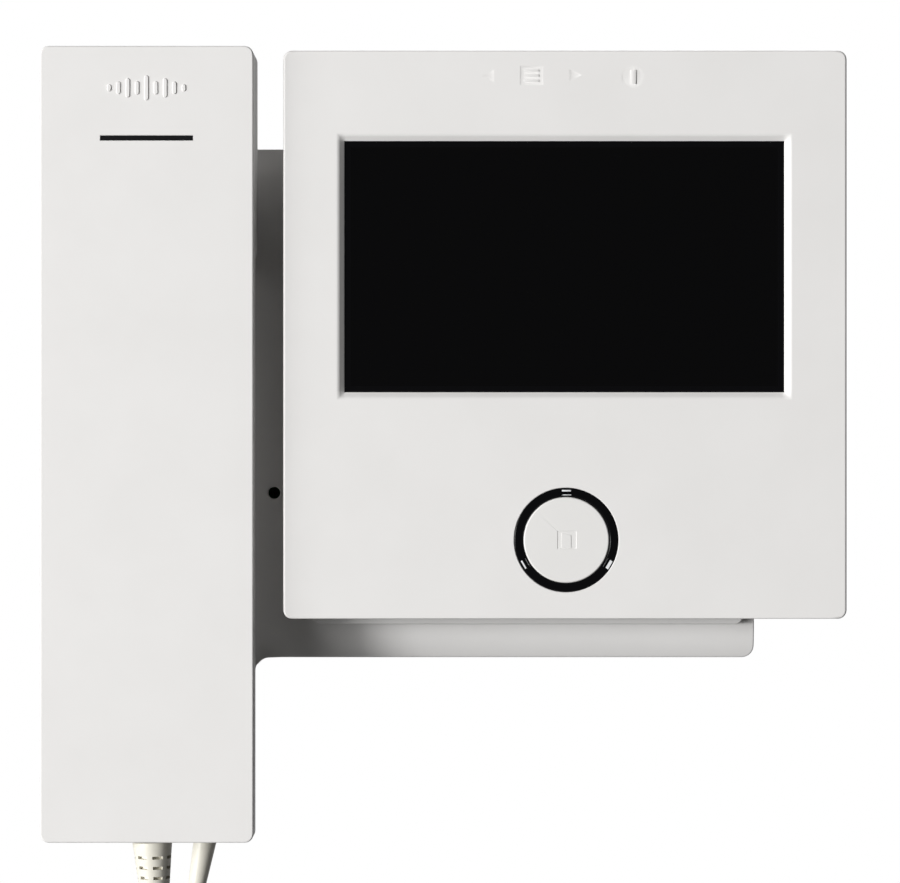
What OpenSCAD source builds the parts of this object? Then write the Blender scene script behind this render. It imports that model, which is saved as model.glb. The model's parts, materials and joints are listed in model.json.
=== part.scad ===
// Video door-intercom monitor for a wall: a floating screen panel on a low base,
// with a flat bar handset beside it on a curly cord.
// Millimetres. +Z up, the front faces -Y, and the wall is the plane Y = 0.
// The origin is the centre of the four wall screws, on the wall.

/* [Monitor panel] */
// Left edge of the monitor panel
panel_left = -42.3; // [-44:0.1:-42]
// Width of the monitor panel
panel_w = 142.9; // [142:0.1:150]
// Lower edge of the monitor panel
panel_low = -45.1; // [-46:0.1:-44]
// Height of the monitor panel
panel_h = 144.1; // [143:0.1:148]
// Distance of the panel's face from the wall
panel_face = 48; // [47.8:0.1:48.2]
// Depth of the panel's moulded front shell
panel_d = 10; // [9.8:0.1:10.2]
// Corner radius of the panel
panel_r = 2.2; // [1:0.1:3]

/* [Screen] */
// Left edge of the screen's opening
screen_left = -26.7; // [-28:0.1:-26]
// Width of the screen's opening, for a 5 inch display
screen_w = 111.4; // [110.9:0.1:112]
// Lower edge of the screen's opening
screen_low = 12.5; // [12:0.1:13]
// Height of the screen's opening
screen_h = 63.5; // [62.9:0.1:64]
// Width of the sloping frame round the screen
bevel_w = 1.6; // [1.2:0.1:2.4]

/* [Keys] */
// Sideways place of the door key's centre
door_x = 29.5; // [28:0.1:31]
// Height of the door key's centre
door_z = -25.1; // [-25.5:0.1:-24.5]
// Radius of the door key
door_r = 10.9; // [10:0.1:10.9]
// Outer radius of the black ring round the door key
ring_r = 13.25; // [13:0.05:14]
// Travel of the door key
door_travel = 1; // [0.5:0.1:1]
// Travel of the four keys in the top edge
top_travel = 0.6; // [0.3:0.1:0.6]

/* [Handset] */
// Left edge of the handset
handset_left = -103.3; // [-104:0.1:-103]
// Width of the handset
handset_w = 53.8; // [53:0.1:54]
// Lower end of the handset
handset_low = -101.2; // [-102:0.1:-101]
// Length of the handset
handset_h = 200.7; // [199:0.1:202]
// Distance of the handset's face from the wall
handset_face = 54; // [54:0.1:54.2]
// Corner radius of the handset
handset_r = 2.2; // [1:0.1:3]
// Height of the thick earpiece end
head_h = 53.5; // [50:0.1:54]

/* [Base] */
// Distance of the base's face from the wall
base_face = 24; // [24:0.1:24.2]
// Right edge of the base
base_right = 79.2; // [79:0.1:80]
// Upper edge of the base
base_top = 76.2; // [75:0.1:77]
// Lower edge of the base
base_low = -56.5; // [-57:0.1:-56]
// Wall thickness of the mouldings
wall_t = 2; // [1.8:0.1:2]

/* [Wall bracket] */
// Distance between the wall screws, across and up
screw_pitch = 60; // [60:0.5:62]
// Radius of the wall screw holes
screw_hole_r = 2.2; // [2:0.1:2.5]
// Thickness of the bracket's sheet steel
sheet_t = 1.5; // [1.2:0.1:1.6]

/* [Handset cord] */
// Diameter of the cord
cord_d = 4.4; // [4:0.1:4.5]
// Outer diameter of the curly part
curl_d = 17; // [15:0.5:18]

/* [Hidden] */

$fn = 48;
steps = 5;

panel_right = panel_left + panel_w;
panel_top = panel_low + panel_h;
panel_back = panel_face - panel_d;
screen_right = screen_left + screen_w;
screen_top = screen_low + screen_h;
bevel_d = 1.3;
rear_in = 6;
rear_back = 28;
rear_flange_t = 1.6;

lens_y = panel_face - bevel_d;
lens_t = 1.5;
gasket_t = 0.5;
lcd_t = 1.4;
light_t = 3.4;
lcd_y = lens_y - lens_t - gasket_t;
light_y = lcd_y - lcd_t;
bracket_y = light_y - light_t;
bracket_t = 2;
board_y = 35;
base_board_y = 8.4;
board_t = 1.6;

handset_right = handset_left + handset_w;
handset_top = handset_low + handset_h;
handset_x = handset_left + handset_w / 2;
handset_split = 46.5;
handset_back = 44.7;
head_low = handset_top - head_h;
head_back = 35;
mic_in = 6;
mic_top = -72;
mic_back = 39;
ear_z = 77;
ear_r = 12;
mic_z = -86;
bar_w = 23.4;
bar_h = 1.26;
bar_z = 76.3;

base_left = -100;
column_right = -52;
column_low = -86;
flare = 3.5;
base_split = 12;
rim_y = 0.4;
floor_y = 3;
pedestal_y = rear_back;
pedestal = [-35.8, 76, -47.5, 72];
seat_y = head_back - 0.4;
foot_y = mic_back - 0.4;
seat = [-98, -56, 42, 64];
foot = [-95, -59, -84, -66];
release_hole = [-45.8, -13.5];
release_r = 1.56;
window = [-24, 24, -16, 16];

base_screw_at = [[-93, 69], [72, 68], [72, -42], [-93, -79], [-59, -79]];
neck_screw_at = [[-22, -30], [62, -30], [-22, 60], [62, 60]];
panel_screw_at = [[-31, -34], [89, -34], [-31, 86], [89, 86]];
base_board_screw_at = [[-84, -34], [60, -34], [-84, 10], [60, 36]];
board_screw_at = [[-20, -34], [78, -34], [-20, 82], [78, 82]];
handset_screw_at = [[handset_x, 56], [-89, -93]];
magnet_at = [[-91, 53], [-63, 53]];

top_key_x = [9.25, 20.8, 31.8, 46.3];
top_key_w = 8;
top_key_y = [41.5, 44.5];

pivot_y = 18.5;
pivot_z = 30;
pin_r = 1.5;
lever_x = [-79, -75];
ear_x = [-88, -70];

// Points along the cord, from the handset's boot to the base's gland.
boot_top = [-75.6, -46.5, handset_low - 0.3];
boot_end = [-74.6, -46.5, -124];
gland_top = [-60.9, -18, column_low - 0.9];
gland_end = [-66.3, -18, -116];
handset_tail_points = [
    [-74.6, -46.5, -124.3], [-74.3, -46.5, -132], [-74.1, -46, -140], [-74, -45, -149.6]
];
coil_points = [
    [-74, -45, -150], [-73, -45, -165], [-72, -45, -180], [-72, -45, -195], [-72, -45, -210],
    [-72, -44, -222], [-72, -40, -234], [-73, -32, -240], [-74, -24, -234], [-75, -19, -222],
    [-76, -18, -210], [-76, -18, -195], [-75, -18, -180], [-74, -18, -165], [-72, -18, -150]
];
base_tail_points = [
    [-72, -18, -149.6], [-71, -18, -140], [-69, -18, -128], [-66.4, -18, -116.3]
];

// ---- shapes used again and again ----

function unit(v) = v / norm(v);

// Points of one rounded corner at p, between its neighbours a and b.
function corner(p, a, b, r) =
    let (
        u = unit(a - p),
        v = unit(b - p),
        half = acos(u * v) / 2,
        c = p + unit(u + v) * r / sin(half),
        s = p + u * r / tan(half) - c,
        e = p + v * r / tan(half) - c,
        from = atan2(s[1], s[0]),
        turn = (atan2(e[1], e[0]) - from + 540) % 360 - 180
    )
    [for (i = [0 : steps]) c + r * [cos(from + turn * i / steps), sin(from + turn * i / steps)]];

function rounded(p, r) =
    [for (i = [0 : len(p) - 1]) each corner(p[i], p[(i + len(p) - 1) % len(p)], p[(i + 1) % len(p)], r)];

function rect(x0, x1, z0, z1) = [[x0, z0], [x1, z0], [x1, z1], [x0, z1]];

// A flat shape drawn in X and Z, filling the depth from y_near to y_far, measured from the wall.
module plate(points, y_near, y_far) {
    translate([0, -y_near, 0])
        rotate([90, 0, 0])
            linear_extrude(y_far - y_near)
                polygon(points);
}

module block(x0, x1, y_near, y_far, z0, z1) {
    translate([x0, -y_far, z0])
        cube([x1 - x0, y_far - y_near, z1 - z0]);
}

module rod(x, z, r, y_near, y_far) {
    translate([x, -y_near, z])
        rotate([90, 0, 0])
            cylinder(h = y_far - y_near, r = r);
}

module rods(at, r, y_near, y_far) {
    for (p = at)
        rod(p[0], p[1], r, y_near, y_far);
}

// A screw whose head lies from y_head towards the front, or towards the wall if into is -1.
module screws(at, r, head_r, head_t, y_head, length, into) {
    for (p = at)
        translate([p[0], -y_head, p[1]])
            rotate([90 * into, 0, 0])
                difference() {
                    union() {
                        cylinder(h = length, r = r);
                        cylinder(h = head_t, r = head_r);
                    }
                    for (turn = [0, 90])
                        rotate([0, 0, turn])
                            translate([-head_r * 0.6, -0.25, -1])
                                cube([head_r * 1.2, 0.5, 1.6]);
                }
}

// One point on a smooth curve through p, at place t counted in points.
function curve(p, t) =
    let (
        n = len(p) - 1,
        i = min(floor(t), n - 1),
        f = t - i,
        a = p[max(i - 1, 0)],
        b = p[i],
        c = p[i + 1],
        d = p[min(i + 2, n)]
    )
    (2 * b + (c - a) * f + (2 * a - 5 * b + 4 * c - d) * f * f + (3 * b - a - 3 * c + d) * f * f * f) / 2;

// Points of one ring of a tube at p, square to the direction along.
function ring(p, along, r, sides) =
    let (
        w = unit(along),
        u = unit(cross(w, abs(w[0]) < 0.9 ? [1, 0, 0] : [0, 1, 0])),
        v = cross(w, u)
    )
    [for (i = [0 : sides - 1]) p + r * (u * cos(i * 360 / sides) + v * sin(i * 360 / sides))];

// A round tube swept along a list of points.
module tube(path, r, sides = 8) {
    n = len(path);
    points = [
        for (k = [0 : n - 1])
            each ring(path[k], path[min(k + 1, n - 1)] - path[max(k - 1, 0)], r, sides)
    ];
    sides_faces = [
        for (k = [0 : n - 2], i = [0 : sides - 1])
            let (j = (i + 1) % sides)
            each [
                [k * sides + i, (k + 1) * sides + i, (k + 1) * sides + j],
                [k * sides + i, (k + 1) * sides + j, k * sides + j]
            ]
    ];
    ends = [
        [for (i = [0 : sides - 1]) i],
        [for (i = [sides - 1 : -1 : 0]) (n - 1) * sides + i]
    ];
    polyhedron(points, concat(ends, sides_faces));
}

function smooth(p, count) = [for (i = [0 : count]) curve(p, i * (len(p) - 1) / count)];

// A coil spring along +Z.
module spring(r, wire_r, length, turns) {
    per_turn = 12;
    tube(
        [for (i = [0 : turns * per_turn])
            [r * cos(i * 30), r * sin(i * 30), wire_r + (length - 2 * wire_r) * i / (turns * per_turn)]],
        wire_r, 6
    );
}

// A cone from one point to another.
module cone_between(from, to, r_from, r_to) {
    along = to - from;
    tilt = acos(along[2] / norm(along));
    translate(from)
        rotate([0, 0, atan2(along[1], along[0])])
            rotate([0, tilt, 0])
                cylinder(h = norm(along), r1 = r_from, r2 = r_to);
}

// An upright round neck at a point, from one height to another.
module neck(at, z_low, z_high, r) {
    translate([at[0], at[1], z_low])
        cylinder(h = z_high - z_low, r = r);
}

// ---- outlines ----

// Outline of the base, with a column for the handset at its left, drawn in by an inset.
function base_outline(inset, r) =
    rounded([
        [base_left + inset, column_low + inset],
        [column_right - inset, column_low + inset],
        [column_right - inset, base_low - flare + inset * tan(22.5)],
        [column_right + flare - inset * tan(22.5), base_low + inset],
        [base_right - inset, base_low + inset],
        [base_right - inset, base_top - inset],
        [base_left + inset, base_top - inset]
    ], r);

function panel_outline(inset, r) =
    rounded(rect(panel_left + inset, panel_right - inset, panel_low + inset, panel_top - inset), r);

function handset_outline(inset, r) =
    rounded(rect(handset_left + inset, handset_right - inset, handset_low + inset, handset_top - inset), r);

function head_outline(inset, r) =
    rounded(rect(handset_left + inset, handset_right - inset, head_low + inset, handset_top - inset), r);

function mic_outline(inset, r) =
    rounded(rect(handset_left + mic_in + inset, handset_right - mic_in - inset,
        handset_low + inset, mic_top - inset), r);

function inset_rect(b, inset) = rect(b[0] + inset, b[1] - inset, b[2] + inset, b[3] - inset);

// ---- base ----

hook_tab_x = [-46, 46];
hook_tab_z = [-38, 26];
tab_w = 8;

module wall_bracket() {
    color("silver") {
        difference() {
            plate(rounded(rect(-55, 55, -44, 44), 5), 0, sheet_t);
            plate(rounded(inset_rect(window, -1), 3), -1, sheet_t + 1);
            for (x = [-1, 1], z = [-1, 1])
                rod(x * screw_pitch / 2, z * screw_pitch / 2, screw_hole_r, -1, sheet_t + 1);
        }
        for (x = hook_tab_x, z = hook_tab_z) {
            block(x - tab_w / 2, x + tab_w / 2, sheet_t, 7, z, z + sheet_t);
            block(x - tab_w / 2, x + tab_w / 2, 5.5, 7, z + sheet_t, z + 6);
        }
    }
}

module base_rear_shell() {
    color("whitesmoke")
        difference() {
            union() {
                difference() {
                    plate(base_outline(0, 3), rim_y, base_split);
                    plate(base_outline(wall_t, 2), floor_y + wall_t, base_split + 1);
                    plate(base_outline(wall_t, 2), -1, floor_y);
                }
                rods(base_screw_at, 4, floor_y, base_split);
                rods(base_board_screw_at, 3, floor_y, base_board_y);
            }
            rods(base_board_screw_at, 1.1, floor_y + 1, base_board_y + 1);
            rods(base_screw_at, 1.7, -1, base_split + 1);
            rods(base_screw_at, 3.2, -1, floor_y + 2);
            plate(rounded(rect(window[0], window[1], window[2], window[3]), 2), -1, 20);
            for (x = hook_tab_x, z = hook_tab_z)
                block(x - tab_w / 2 - 1, x + tab_w / 2 + 1, -1, floor_y + wall_t + 1, z - 1.5, z + 9);
        }
}

module base_front_cover() {
    color("white")
        difference() {
            union() {
                plate(base_outline(0, 3), base_split, base_face);
                plate(rounded(inset_rect(pedestal, 0), 2), base_face - 1, pedestal_y);
                plate(rounded(inset_rect(seat, 0), 3), base_face - 1, seat_y);
                plate(rounded(inset_rect(foot, 0), 3), base_face - 1, foot_y);
            }
            difference() {
                union() {
                    plate(base_outline(wall_t, 2), base_split - 1, base_face - wall_t);
                    plate(inset_rect(pedestal, wall_t), base_split - 1, pedestal_y - wall_t);
                    plate(inset_rect(seat, wall_t), base_split - 1, seat_y - wall_t);
                    plate(inset_rect(foot, wall_t), base_split - 1, foot_y - wall_t);
                }
                rods(base_screw_at, 4, base_split, pedestal_y);
                for (x = ear_x)
                    block(x, x + 4, pivot_y - 3, base_face, pivot_z - 3, pivot_z + 3);
            }
            neck(gland_top, -95, -80, 2.7);
            rods(base_screw_at, 1.35, base_split - 1, base_face - wall_t - 0.5);
            rod(release_hole[0], release_hole[1], release_r, base_split, base_face + 1);
            block(lever_x[0] - 1, lever_x[1] + 1, base_split, seat_y + 1, 48.2, 57.8);
            rods(neck_screw_at, 1.7, base_split, pedestal_y + 1);
            block(7, 27, base_split, pedestal_y + 1, -6, 8);
            for (i = [0 : 6])
                block(36 + i * 4.5, 38 + i * 4.5, 14.5, 20.5, base_low - 1, base_low + wall_t + 1);
            translate([-95, -pivot_y, pivot_z])
                rotate([0, 90, 0])
                    cylinder(h = 40, r = pin_r + 0.02);
        }
}

module base_screws() {
    color("silver")
        screws(base_screw_at, 1.3, 3, 2, floor_y, 16, 1);
}

module neck_screws() {
    color("silver")
        screws(neck_screw_at, 1.25, 3, 1.8, pedestal_y - wall_t - 1.8, 8.4, 1);
}

module base_pcb() {
    color("seagreen")
        difference() {
            block(-88, 64, base_board_y, base_board_y + board_t, -38, 40);
            rods(base_board_screw_at, 1.4, base_board_y - 1, base_board_y + 3);
        }
}

module base_pcb_screws() {
    color("silver")
        screws(base_board_screw_at, 1, 2.2, 1.2, base_board_y + board_t + 1.2, 5.4, -1);
}

module terminal_block() {
    color("green")
        difference() {
            block(-20.4, 20.4, 3.2, 8.4, 1, 11);
            for (i = [0 : 7]) {
                block(-19.4 + i * 5.1, -16.3 + i * 5.1, 4.2, 7.4, 0, 5);
                rod(-17.85 + i * 5.1, 8, 1.8, 3, 7);
            }
        }
}

module terminal_screws() {
    color("silver")
        screws([for (i = [0 : 7]) [-17.85 + i * 5.1, 8]], 0.9, 1.7, 1.6, 4, 3, 1);
}

module hook_switch() {
    color("dimgray") {
        block(-81, -73, 10, 13.2, 18, 27);
        block(-78, -76, 13.2, 13.8, 20, 22);
    }
}

module hook_pivot_pin() {
    color("silver")
        translate([-87.5, -pivot_y, pivot_z])
            rotate([0, 90, 0])
                cylinder(h = 21, r = pin_r);
}

module hook_spring() {
    color("silver")
        translate([-77, -5.2, 54])
            rotate([90, 0, 0])
                spring(2.2, 0.35, 10.2, 6);
}

module cradle_magnets() {
    color("silver")
        rods(magnet_at, 4, seat_y - wall_t - 2.2, seat_y - wall_t);
}

module call_speaker() {
    color("dimgray") {
        block(33, 67, 13.8, 21.2, base_low + wall_t, base_low + wall_t + 3);
        block(43, 57, 14.5, 20.5, base_low + wall_t + 3, base_low + wall_t + 7);
    }
}

module hook_lever() {
    color("ivory")
        difference() {
            union() {
                translate([lever_x[0], 0, 0])
                    rotate([90, 0, 90])
                        linear_extrude(lever_x[1] - lever_x[0])
                            polygon([
                                [-15.8, 20], [-15.6, 57], [-33.4, 57], [-34.4, 56], [-34.4, 52], [-33.4, 51],
                                [-19, 51], [-18.8, 20]
                            ]);
                translate([lever_x[0] - 1.5, -pivot_y, pivot_z])
                    rotate([0, 90, 0])
                        cylinder(h = 7, r = 3);
            }
            translate([lever_x[0] - 3, -pivot_y, pivot_z])
                rotate([0, 90, 0])
                    cylinder(h = 10, r = pin_r + 0.05);
        }
}

// ---- monitor ----

module monitor_rear_shell() {
    color("white")
        difference() {
            union() {
                plate(panel_outline(0.6, panel_r), panel_back - rear_flange_t, panel_back);
                plate(panel_outline(rear_in, 4), rear_back, panel_back);
            }
            difference() {
                plate(panel_outline(rear_in + wall_t, 3), rear_back + wall_t, panel_back + 1);
                rods(neck_screw_at, 3, rear_back, board_y - board_t);
                rods(board_screw_at, 3, rear_back, board_y - board_t);
                rods(panel_screw_at, 3.2, rear_back, panel_back);
            }
            rods(neck_screw_at, 1.3, rear_back - 1, board_y - board_t - 0.6);
            rods(board_screw_at, 1.1, rear_back + 1, board_y - board_t + 1);
            rods(panel_screw_at, 1.5, rear_back - 1, panel_back + 1);
            rods(panel_screw_at, 2.5, rear_back - 1, panel_back - 3);
            block(7, 27, rear_back - 1, rear_back + wall_t + 1, -6, 8);
        }
}

// The funnel of the sloping frame: two wedges crossed give its four mitred sides.
module screen_funnel() {
    intersection() {
        translate([0, 0, screen_low - 10])
            linear_extrude(screen_h + 20)
                polygon([
                    [screen_left, -lens_y + 1], [screen_right, -lens_y + 1], [screen_right, -lens_y],
                    [screen_right + bevel_w, -panel_face], [screen_right + bevel_w, -panel_face - 1],
                    [screen_left - bevel_w, -panel_face - 1], [screen_left - bevel_w, -panel_face],
                    [screen_left, -lens_y]
                ]);
        translate([screen_left - 10, 0, 0])
            rotate([90, 0, 90])
                linear_extrude(screen_w + 20)
                    polygon([
                        [-lens_y + 1, screen_low], [-lens_y, screen_low], [-panel_face, screen_low - bevel_w],
                        [-panel_face - 1, screen_low - bevel_w], [-panel_face - 1, screen_top + bevel_w],
                        [-panel_face, screen_top + bevel_w], [-lens_y, screen_top], [-lens_y + 1, screen_top]
                    ]);
    }
}

lens_box = [screen_left - 2, screen_right + 2, screen_low - 2, screen_top + 2];

module monitor_front_panel() {
    color("white")
        difference() {
            union() {
                difference() {
                    plate(panel_outline(0, panel_r), panel_back, panel_face);
                    difference() {
                        plate(panel_outline(wall_t, 1), panel_back - 1, panel_face - wall_t);
                        plate(inset_rect(lens_box, -1.5), lens_y, panel_face);
                    }
                }
                rods(panel_screw_at, 3, panel_back, panel_face - 1);
                rod(door_x, door_z, ring_r + 2, panel_face - 5, panel_face - 1);
            }
            screen_funnel();
            plate(inset_rect(lens_box, -0.2), panel_back - 1, lens_y);
            rods(panel_screw_at, 1.2, panel_back - 1, panel_face - 3);
            rod(door_x, door_z, ring_r, panel_face - 4, panel_face + 1);
            rod(door_x, door_z, ring_r - 1, panel_face - 6, panel_face + 1);
            for (x = top_key_x)
                block(x - top_key_w / 2 - 0.2, x + top_key_w / 2 + 0.2, top_key_y[0] - 0.2, top_key_y[1] + 0.2,
                    panel_top - wall_t - 1, panel_top + 1);
        }
}

module screen_lens() {
    color("black")
        plate(rounded(inset_rect(lens_box, 0), 1), lens_y - lens_t, lens_y);
}

module lens_gasket() {
    color("dimgray")
        difference() {
            plate(inset_rect(lens_box, 0), lcd_y, lcd_y + gasket_t);
            plate(inset_rect([screen_left, screen_right, screen_low, screen_top], -0.3), lcd_y - 1, lcd_y + 2);
        }
}

module lcd_panel() {
    color("black")
        plate(inset_rect(lens_box, 0.2), light_y, lcd_y);
}

module lcd_backlight() {
    color("silver")
        difference() {
            plate(inset_rect(lens_box, -0.8), bracket_y, light_y);
            plate(inset_rect(lens_box, 1), bracket_y + 0.4, light_y - 1);
        }
}

module lcd_bracket() {
    color("dimgray")
        difference() {
            plate(inset_rect(lens_box, -2.4), bracket_y - bracket_t, bracket_y + 1.6);
            plate(inset_rect(lens_box, -1), bracket_y, bracket_y + 3);
            plate(inset_rect(lens_box, 6), bracket_y - bracket_t - 1, bracket_y + 1);
        }
}

module lcd_flex_cable() {
    color("orange")
        translate([18, 0, 0])
            rotate([90, 0, 90])
                linear_extrude(22)
                    polygon([
                        [-42.9, 9.5], [-42.9, 5.2], [-35.3, 5.2], [-35.3, 0], [-35, 0], [-35, 5.5],
                        [-42.6, 5.5], [-42.6, 9.5]
                    ]);
}

module main_pcb() {
    color("seagreen")
        difference() {
            block(-27, 85, board_y - board_t, board_y, -37, 85.5);
            rods(board_screw_at, 1.4, board_y - 3, board_y + 1);
        }
}

module main_pcb_screws() {
    color("silver")
        screws(board_screw_at, 1, 2.2, 1.2, board_y + 1.2, 5, -1);
}

module board_sockets() {
    color("white") {
        block(9, 25, 10, 13, -2.5, 4.5);
        block(9, 25, board_y - board_t - 3, board_y - board_t, -2.5, 4.5);
    }
}

module board_ribbon() {
    color("gray")
        block(10, 24, 13, board_y - board_t - 3, 0.5, 1.5);
}

module monitor_screws() {
    color("silver")
        screws(panel_screw_at, 1.1, 2.2, 1.6, panel_back - 3.1 - 1.6, 11.4, 1);
}

// ---- keys ----

mark_angles = [90, 210, 330];

module mark_boxes(y_near, y_far, slack) {
    for (a = mark_angles)
        translate([door_x, 0, door_z])
            rotate([0, -a, 0])
                block(12.1 - slack, 12.9 + slack, y_near, y_far, -1.15 - slack, 1.15 + slack);
}

module key_ring() {
    color("black")
        difference() {
            rod(door_x, door_z, ring_r - 0.05, panel_face - 4, panel_face);
            rod(door_x, door_z, door_r + 0.15, panel_face - 5, panel_face + 1);
            mark_boxes(panel_face - 5, panel_face + 1, 0);
        }
}

module ring_light_windows() {
    color("gainsboro")
        mark_boxes(panel_face - 4, panel_face - 0.05, -0.02);
}

module ring_light_guide() {
    color("gainsboro")
        difference() {
            rod(door_x, door_z, ring_r - 1.1, panel_face - 7, panel_face - 4.1);
            rod(door_x, door_z, door_r + 0.15, panel_face - 8, panel_face);
        }
}

module door_key() {
    color("white") {
        difference() {
            rod(door_x, door_z, door_r, panel_face - 4.5, panel_face - 0.1);
            rod(door_x, door_z, door_r - 1.6, panel_face - 5, panel_face - 1.8);
        }
        rod(door_x, door_z, 2.5, 39.8, panel_face - 1.8);
    }
}

module door_switch() {
    color("dimgray") {
        block(door_x - 3, door_x + 3, board_y, board_y + 3, door_z - 3, door_z + 3);
        rod(door_x, door_z, 1.6, board_y + 3, 39.8 - door_travel - 0.1);
    }
}

module door_key_spring() {
    color("silver")
        translate([door_x, -board_y - 0.2, door_z])
            rotate([90, 0, 0])
                spring(5.5, 0.4, panel_face - 1.8 - board_y - 0.4, 5);
}

module top_key(x) {
    color("white") {
        block(x - top_key_w / 2, x + top_key_w / 2, top_key_y[0], top_key_y[1], 94, panel_top + 0.3);
        block(x - top_key_w / 2 - 0.8, x + top_key_w / 2 + 0.8, top_key_y[0] - 0.8, top_key_y[1] + 0.8,
            94, 95.5);
    }
}

module left_key() { top_key(top_key_x[0]); }

module menu_key() { top_key(top_key_x[1]); }

module right_key() { top_key(top_key_x[2]); }

module info_key() { top_key(top_key_x[3]); }

module key_pcb() {
    color("seagreen")
        block(2, 54, 40, 45.8, 88, 89.4);
}

module key_switches() {
    color("dimgray")
        for (x = top_key_x) {
            block(x - 2.5, x + 2.5, 40.6, 45.4, 89.4, 92.4);
            translate([x, -43, 92.4])
                cylinder(h = 0.8, r = 1.2);
        }
}

// ---- handset ----

// The hole that the two shells close round the cord's boot.
module boot_hole() {
    neck(boot_top, -110, -95, 2.9);
}

module handset_front_shell() {
    color("white")
        difference() {
            plate(handset_outline(0, handset_r), handset_split, handset_face);
            difference() {
                plate(handset_outline(wall_t, 1), handset_split - 1, handset_face - wall_t);
                rods(handset_screw_at, 3, handset_split, handset_face);
            }
            rods(handset_screw_at, 1.2, handset_split - 1, handset_face - 3);
            block(handset_x - bar_w / 2, handset_x + bar_w / 2, handset_split, handset_face + 1,
                bar_z - bar_h / 2, bar_z + bar_h / 2);
            boot_hole();
        }
}

// Rings of small holes in front of the earpiece.
module ear_holes() {
    rod(handset_x, ear_z, 0.9, 30, 45);
    for (k = [1, 2], i = [0 : k * 6 - 1])
        rod(handset_x + k * 3.4 * cos(i * 60 / k), ear_z + k * 3.4 * sin(i * 60 / k), 0.9, 30, 45);
}

module handset_back_shell() {
    color("white")
        difference() {
            union() {
                plate(handset_outline(0, handset_r), handset_back, handset_split);
                plate(head_outline(0, handset_r), head_back, handset_split);
                plate(mic_outline(0, handset_r), mic_back, handset_split);
            }
            difference() {
                union() {
                    plate(head_outline(wall_t, 1), head_back + wall_t, handset_split + 1);
                    plate(mic_outline(wall_t, 1), mic_back + wall_t, handset_split + 1);
                }
                rods(handset_screw_at, 3.4, head_back, handset_split);
            }
            ear_holes();
            rod(handset_x, mic_z, 1.2, 30, 45);
            rods(handset_screw_at, 1.5, 30, handset_split + 1);
            rods(handset_screw_at, 2.6, 30, handset_split - 2);
            boot_hole();
        }
}

module handset_light_bar() {
    color("dimgray") {
        block(handset_x - bar_w / 2 + 0.05, handset_x + bar_w / 2 - 0.05,
            handset_face - wall_t, handset_face - 0.3, bar_z - bar_h / 2 + 0.05, bar_z + bar_h / 2 - 0.05);
        block(handset_x - bar_w / 2 - 1.5, handset_x + bar_w / 2 + 1.5, handset_face - wall_t - 1.2,
            handset_face - wall_t, bar_z - 3, bar_z + 3);
    }
}

module handset_light_board() {
    color("seagreen")
        block(handset_x - 16, handset_x + 16, 48.6, 49.8, 68, 84);
}

module earpiece_capsule() {
    color("dimgray") {
        rod(handset_x, ear_z, ear_r, 38.6, 43);
        rod(handset_x, ear_z, 8, 43, 46.4);
    }
}

module earpiece_gasket() {
    color("dimgray")
        difference() {
            rod(handset_x, ear_z, ear_r, head_back + wall_t, 38.6);
            rod(handset_x, ear_z, ear_r - 2.5, head_back, 40);
        }
}

module microphone_capsule() {
    color("silver")
        rod(handset_x, mic_z, 3, 42.2, 44.6);
}

module microphone_boot() {
    color("dimgray")
        difference() {
            rod(handset_x, mic_z, 4.6, mic_back + wall_t, 44.6);
            rod(handset_x, mic_z, 3.02, 42.2, 45);
            rod(handset_x, mic_z, 1, 40, 43);
        }
}

module handset_weight() {
    color("silver")
        block(handset_x - 12, handset_x + 12, 47, 51, -40, 20);
}

module handset_magnets() {
    color("silver")
        rods(magnet_at, 4, head_back + wall_t, head_back + wall_t + 2.2);
}

module handset_screws() {
    color("silver")
        screws(handset_screw_at, 1.15, 2.4, 1.4, handset_split - 3.5, 7.8, 1);
}

module cord_boot() {
    color("whitesmoke") {
        cone_between(boot_top, boot_end, 5.05, 2.8);
        neck(boot_top, handset_low - 1, handset_low + 4, 2.8);
    }
}

// ---- cord ----

module cord_gland() {
    color("whitesmoke") {
        cone_between(gland_top, gland_end, 4, 2.35);
        neck(gland_top, column_low - 2, column_low + 2.4, 2.6);
    }
}

module cord_handset_tail() {
    color("whitesmoke")
        tube(smooth(handset_tail_points, 4), cord_d / 2, 8);
}

module cord_coil() {
    color("whitesmoke")
        tube(smooth(coil_points, 28), curl_d / 2, 12);
}

module cord_base_tail() {
    color("whitesmoke")
        tube(smooth(base_tail_points, 5), cord_d / 2, 8);
}

wall_bracket();
base_rear_shell();
base_front_cover();
base_screws();
neck_screws();
base_pcb();
base_pcb_screws();
terminal_block();
terminal_screws();
hook_switch();
hook_pivot_pin();
hook_spring();
cradle_magnets();
call_speaker();
cord_gland();
cord_handset_tail();
cord_coil();
cord_base_tail();
monitor_rear_shell();
monitor_front_panel();
screen_lens();
lens_gasket();
lcd_panel();
lcd_backlight();
lcd_bracket();
lcd_flex_cable();
main_pcb();
main_pcb_screws();
board_sockets();
board_ribbon();
monitor_screws();
key_ring();
ring_light_windows();
ring_light_guide();
door_switch();
door_key_spring();
key_pcb();
key_switches();
door_key();
left_key();
menu_key();
right_key();
info_key();
hook_lever();
handset_front_shell();
handset_back_shell();
handset_light_bar();
handset_light_board();
earpiece_capsule();
earpiece_gasket();
microphone_capsule();
microphone_boot();
handset_weight();
handset_magnets();
handset_screws();
cord_boot();
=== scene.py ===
import json
import math

import bmesh
import bpy
from mathutils import Matrix, Vector


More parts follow.
